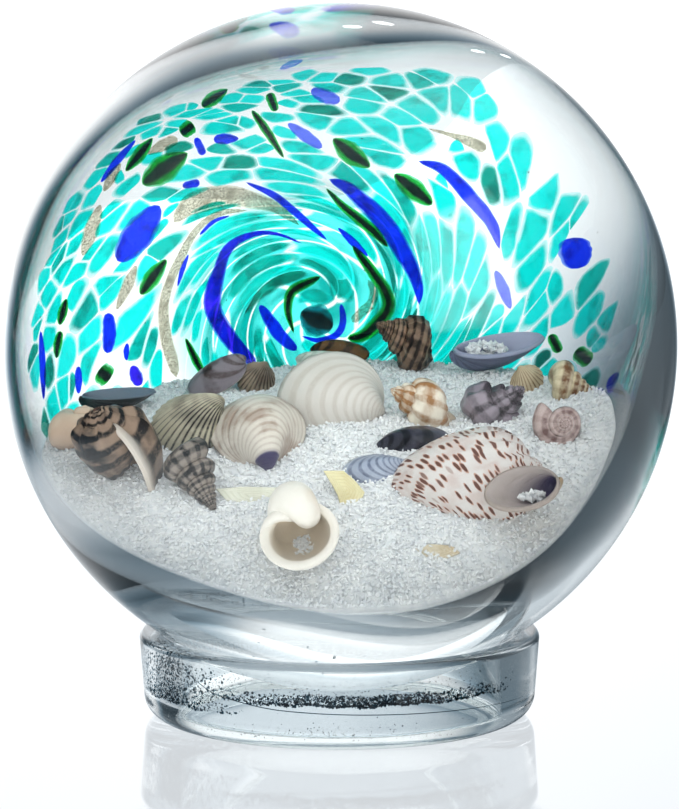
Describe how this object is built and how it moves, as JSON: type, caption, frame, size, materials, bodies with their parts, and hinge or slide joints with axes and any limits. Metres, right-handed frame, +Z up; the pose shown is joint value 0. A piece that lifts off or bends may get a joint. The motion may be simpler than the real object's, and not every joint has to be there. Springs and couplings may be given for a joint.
{
  "type": "blown glass globe",
  "caption": "Sealed thick-walled blown glass globe with a coloured swirl in its back wall and sand and seashells inside, standing in a clear glass ring foot.",
  "frame": {"origin": "on the globe's vertical axis, in the plane that the foot stands on", "axes": "+Z up the globe's axis; -Y is the clear front that the picture looks at, and +Y the coloured back wall"},
  "size_m": [0.127, 0.127, 0.1348],
  "materials": {
    "blown_glass": "clear, fire-polished",
    "cast_glass": "clear, slightly rippled"
  },
  "bodies": {
    "root": {"globe": "blown_glass", "foot": "cast_glass"}
  },
  "joints": []
}
